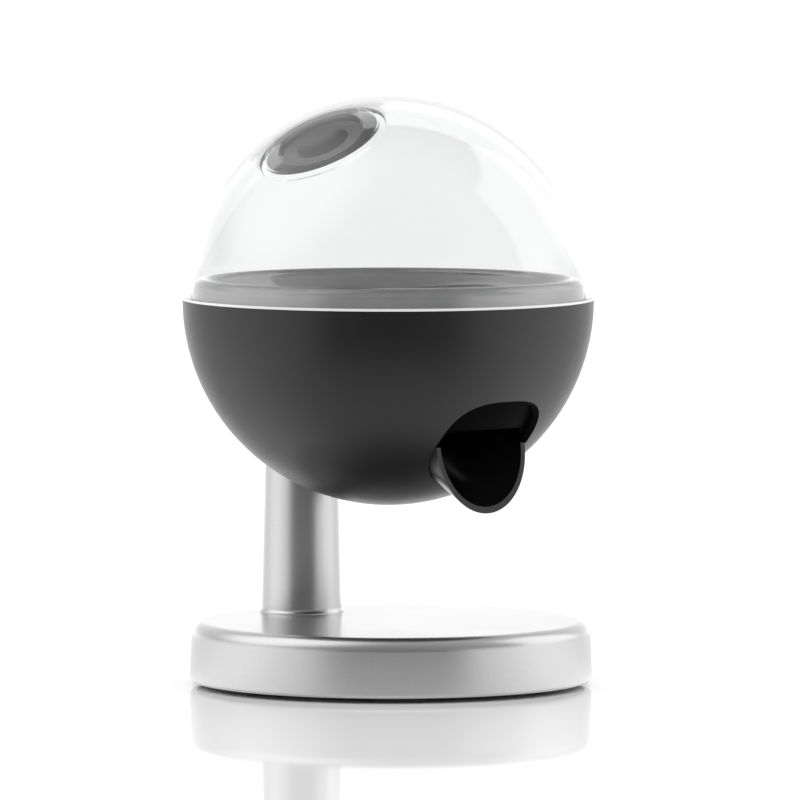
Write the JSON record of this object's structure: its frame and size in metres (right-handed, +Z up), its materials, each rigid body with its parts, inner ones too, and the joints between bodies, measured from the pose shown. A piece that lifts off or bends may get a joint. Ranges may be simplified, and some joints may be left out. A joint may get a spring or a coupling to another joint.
{
  "type": "sweet dispenser",
  "caption": "Countertop sweet and nut dispenser: a clear dome on a dark round bowl with a hand-sensing spout, an offset post and a round foot.",
  "frame": {"origin": "centre of the surface the foot rests on, under the globe's axis", "axes": "+Z up along the globe's axis, -Y towards the spout, +Y towards the post"},
  "size_m": [0.125, 0.125, 0.18],
  "materials": {
    "clear_dome": "clear polished acrylic",
    "black_gloss": "satin-gloss black moulding",
    "inner_black": "matt black moulding",
    "silver_paint": "satin silver lacquer",
    "soft_rubber": "soft rubber",
    "paddle": "soft matt plastic",
    "gear_acetal": "natural acetal",
    "brass_pinion": "turned brass",
    "steel": "plated steel",
    "board_green": "solder mask",
    "component_black": "moulded component",
    "ir_lens": "dark tinted lens",
    "cell_wrap": "printed cell wrap, no lettering",
    "lead_red": "lead insulation",
    "lead_black": "lead insulation",
    "knob_white": "moulded knob"
  },
  "bodies": {
    "housing": {"base_cover": "silver_paint", "base_plate": "inner_black", "base_screws": "steel", "battery_tray": "inner_black", "board_components": "component_black", "board_pillars": "inner_black", "board_screws": "steel", "bowl": "black_gloss", "cells": "cell_wrap", "chamber_floor": "inner_black", "chamber_ring": "inner_black", "chute": "black_gloss", "chute_screws": "steel", "contact_plates": "steel", "contact_springs": "steel", "dome": "clear_dome", "floor_screws": "steel", "gearbox_screws": "steel", "gearbox_tray": "inner_black", "globe_screws": "steel", "hopper": "inner_black", "idler_pin": "steel", "ir_emitter": "ir_lens", "ir_receiver": "ir_lens", "main_board": "board_green", "motor_can": "steel", "motor_leads": "lead_black", "motor_screws": "steel", "motor_terminals": "steel", "outlet_guard": "inner_black", "post": "silver_paint", "post_foot_screws": "steel", "post_top_screws": "steel", "rubber_feet": "soft_rubber", "sensor_board": "board_green", "sensor_window": "inner_black", "shaft_bush": "brass_pinion", "supply_lead_negative": "lead_black", "supply_lead_positive": "lead_red", "switch_body": "inner_black"},
    "rotor": {"rotor": "paddle", "agitator_cap": "paddle", "agitator_screw": "steel", "rotor_shaft": "steel", "output_gear": "gear_acetal"},
    "idler": {"idler_gear": "gear_acetal"},
    "motor_rotor": {"motor_shaft": "steel", "motor_pinion": "brass_pinion"},
    "plug": {"fill_plug": "black_gloss", "plug_seal": "soft_rubber"},
    "door": {"battery_door": "inner_black"},
    "knob": {"switch_knob": "knob_white"}
  },
  "joints": [
    {"name": "rotor_spin", "type": "hinge", "parent": "housing", "child": "rotor", "pos_m": [0, 0, 0.09], "axis": [0, 0, 1], "continuous": true},
    {"name": "idler_spin", "type": "hinge", "parent": "housing", "child": "idler", "pos_m": [0.01169, 0.00675, 0.078], "axis": [0, 0, 1], "continuous": true},
    {"name": "motor_spin", "type": "hinge", "parent": "housing", "child": "motor_rotor", "pos_m": [0, 0.0135, 0.078], "axis": [0, 0, 1], "continuous": true},
    {"name": "plug_pull", "type": "slide", "parent": "housing", "child": "plug", "axis": [0, 0.5519, 0.8339], "range_m": [0, 0.045]},
    {"name": "battery_door_hinge", "type": "hinge", "parent": "housing", "child": "door", "pos_m": [0.02565, -0.0083, 0.00305], "axis": [0, -1, 0], "range_deg": [0, 95]},
    {"name": "switch_slide", "type": "slide", "parent": "housing", "child": "knob", "axis": [1, 0, 0], "range_m": [0, 0.0024]}
  ],
  "couplings": [
    {"joint": "idler_spin", "follows": "rotor_spin", "ratio": -3.5},
    {"joint": "motor_spin", "follows": "rotor_spin", "ratio": 12.25}
  ]
}
